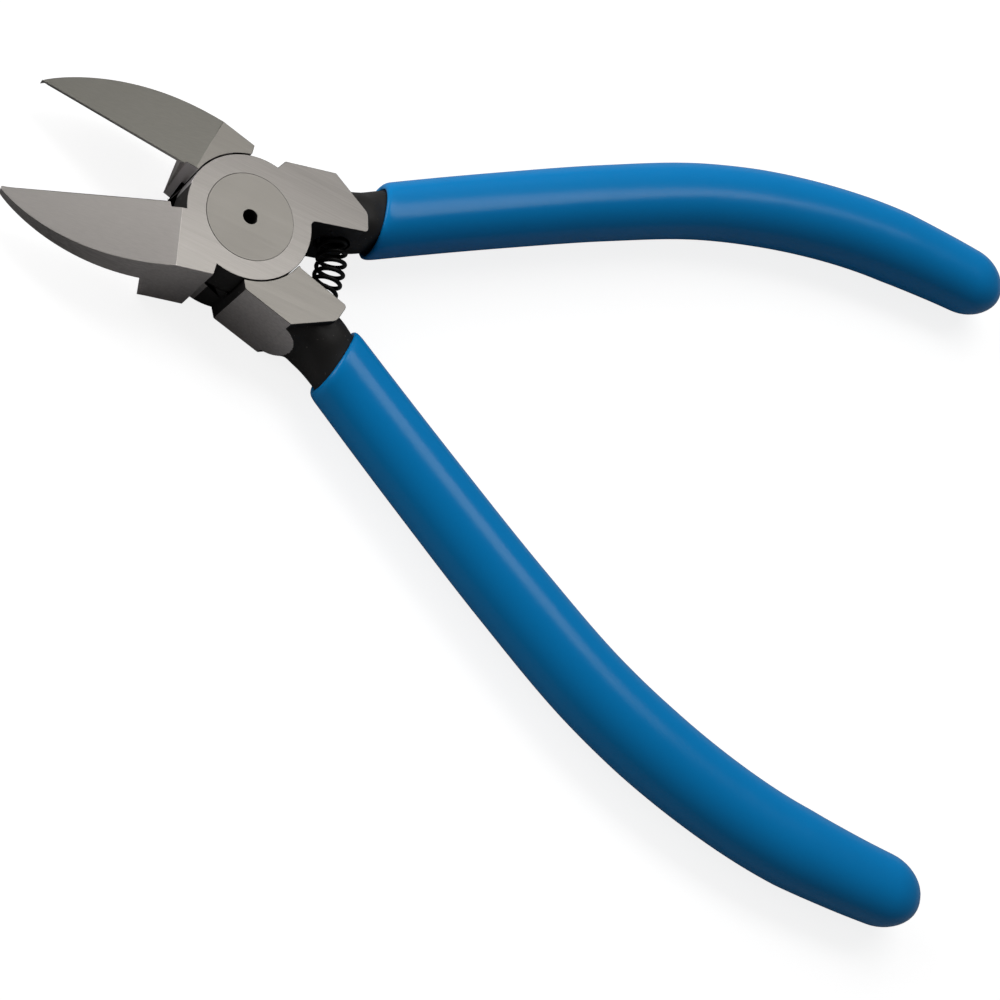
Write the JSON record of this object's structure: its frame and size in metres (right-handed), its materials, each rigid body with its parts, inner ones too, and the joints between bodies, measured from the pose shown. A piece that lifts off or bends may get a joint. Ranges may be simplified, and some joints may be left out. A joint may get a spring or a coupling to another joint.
{
  "type": "diagonal cutting pliers",
  "caption": "Hand cutting pliers with flush-faced pointed blades, a riveted lap joint, a small coil return spring and curved dipped plastic grips.",
  "frame": {"origin": "on the joint's axis, in the plane of the flat back faces", "axes": "+X along the tool towards the handles, +Y towards the upper handle, +Z out of the front face along the joint's axis"},
  "size_m": [0.1434, 0.1044, 0.0101],
  "materials": {
    "front_half_steel": "fine ground faces, black oxide on the forged tang",
    "rear_half_steel": "fine ground faces, black oxide on the forged tang",
    "rivet_steel": "fine ground",
    "spring_wire": "blackened wire",
    "grip_vinyl": "smooth glossy dip coating"
  },
  "bodies": {
    "front_body": {"front_half": "front_half_steel", "pivot_rivet": "rivet_steel", "upper_grip": "grip_vinyl", "return_spring": "spring_wire"},
    "rear_body": {"rear_half": "rear_half_steel", "lower_grip": "grip_vinyl"}
  },
  "joints": [
    {"name": "pivot", "type": "hinge", "parent": "front_body", "child": "rear_body", "pos_m": [0, 0, 0], "axis": [0, 0, 1], "range_deg": [-10, 30.4], "stiffness_Nm_per_rad": 0.37, "deforming": ["return_spring"]}
  ]
}
